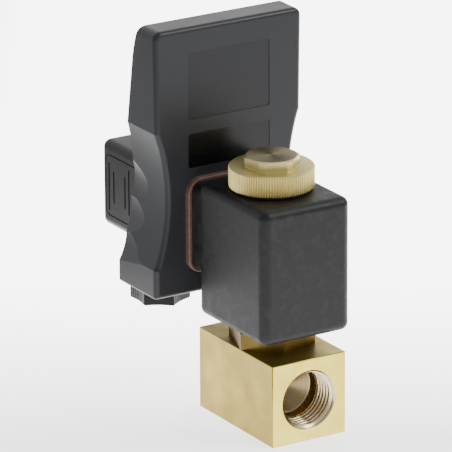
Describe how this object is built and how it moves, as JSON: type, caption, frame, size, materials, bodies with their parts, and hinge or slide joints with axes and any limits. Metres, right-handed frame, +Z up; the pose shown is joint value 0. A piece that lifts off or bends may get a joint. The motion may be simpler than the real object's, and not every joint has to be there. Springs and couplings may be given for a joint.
{
  "type": "automatic drain valve",
  "caption": "Timer-controlled condensate drain: square brass two-port valve block, solenoid coil with knurled nut, electronic timer and cable plug behind it.",
  "frame": {"origin": "centre of the valve block's underside, on the stem axis", "axes": "+Z up the stem, +X out of the outlet port, timer and cable plug on the -X side"},
  "size_m": [0.1165, 0.061, 0.1391],
  "materials": {
    "brass": "machined",
    "knurled_brass": "knurled and turned",
    "hex_brass": "turned",
    "coil_epoxy": "matte moulded",
    "housing_abs": "satin moulded",
    "cover_abs": "satin moulded",
    "plate_satin": "satin",
    "plate_gloss": "glossy",
    "plug_plastic": "satin moulded",
    "gland_plastic": "satin moulded",
    "silicone": "smooth",
    "black_rubber": "smooth",
    "seal_rubber": "smooth",
    "steel": "turned",
    "copper_winding": "enamelled copper wire",
    "bobbin_nylon": "natural nylon",
    "board_glass_epoxy": "solder mask",
    "component_blue": "moulded",
    "component_black": "moulded",
    "lamp_clear": "tinted clear",
    "knob_grey": "satin moulded",
    "button_grey": "satin moulded",
    "insert_grey": "moulded"
  },
  "bodies": {
    "valve": {"valve_block": "brass", "stem_base": "hex_brass", "stem_seal": "seal_rubber", "armature_tube": "steel", "fixed_core": "steel", "shading_ring": "copper_winding"},
    "plunger": {"plunger": "steel", "plunger_seal": "seal_rubber", "plunger_spring": "steel"},
    "coil": {"coil_case": "coil_epoxy", "coil_yoke": "steel", "coil_bobbin": "bobbin_nylon", "coil_winding": "copper_winding", "coil_pins": "steel", "coil_screw_insert": "brass", "interface_gasket": "silicone", "timer_housing": "housing_abs", "front_plate_upper": "plate_satin", "front_plate_lower": "plate_gloss", "socket_insert": "insert_grey", "timer_rear_cover": "cover_abs", "cover_screws": "steel", "circuit_board": "board_glass_epoxy", "potentiometers": "component_blue", "test_switch": "component_black", "status_leds": "lamp_clear", "capacitor": "component_black", "rear_pin_base": "insert_grey", "rear_pins": "steel", "plug_gasket": "black_rubber", "plug_housing": "plug_plastic", "terminal_insert": "insert_grey", "centre_screw": "steel", "gland_grommet": "black_rubber"},
    "nut_washer": {"nut_washer": "black_rubber"},
    "knurled_nut": {"knurled_nut": "knurled_brass"},
    "gland_washer": {"gland_washer": "insert_grey"},
    "gland_nut": {"gland_nut": "gland_plastic"},
    "on_time_knob": {"on_time_knob": "knob_grey"},
    "off_time_knob": {"off_time_knob": "knob_grey"},
    "test_button": {"test_button": "button_grey"}
  },
  "joints": [
    {"name": "coil_swivel", "type": "hinge", "parent": "valve", "child": "coil", "pos_m": [0, 0, 0.0369], "axis": [0, 0, 1], "continuous": true},
    {"name": "plunger_lift", "type": "slide", "parent": "valve", "child": "plunger", "axis": [0, 0, 1], "range_m": [0, 0.0015], "stiffness_N_per_m": 400, "springref_m": -0.002, "deforming": ["plunger_spring"]},
    {"name": "nut_rise", "type": "slide", "parent": "valve", "child": "nut_washer", "axis": [0, 0, 1], "range_m": [0, 0.005]},
    {"name": "nut_turn", "type": "hinge", "parent": "nut_washer", "child": "knurled_nut", "pos_m": [0, 0, 0.0865], "axis": [0, 0, 1], "range_deg": [0, 1800]},
    {"name": "gland_back_off", "type": "slide", "parent": "coil", "child": "gland_washer", "axis": [0, 0, -1], "range_m": [0, 0.0045]},
    {"name": "gland_turn", "type": "hinge", "parent": "gland_washer", "child": "gland_nut", "pos_m": [-0.0759, 0, 0.0273], "axis": [0, 0, -1], "range_deg": [0, 1080]},
    {"name": "on_time_turn", "type": "hinge", "parent": "coil", "child": "on_time_knob", "pos_m": [-0.04602, 0.014, 0.111], "axis": [-0.9848, 0, 0.1736], "range_deg": [-140, 140]},
    {"name": "off_time_turn", "type": "hinge", "parent": "coil", "child": "off_time_knob", "pos_m": [-0.04602, -0.014, 0.111], "axis": [-0.9848, 0, 0.1736], "range_deg": [-140, 140]},
    {"name": "test_press", "type": "slide", "parent": "coil", "child": "test_button", "axis": [0.9848, 0, -0.1736], "range_m": [0, 0.0012], "stiffness_N_per_m": 900, "springref_m": -0.0005}
  ],
  "couplings": [
    {"joint": "nut_turn", "follows": "nut_rise", "rad_per_m": 6283.2},
    {"joint": "gland_turn", "follows": "gland_back_off", "rad_per_m": 4188.8}
  ]
}
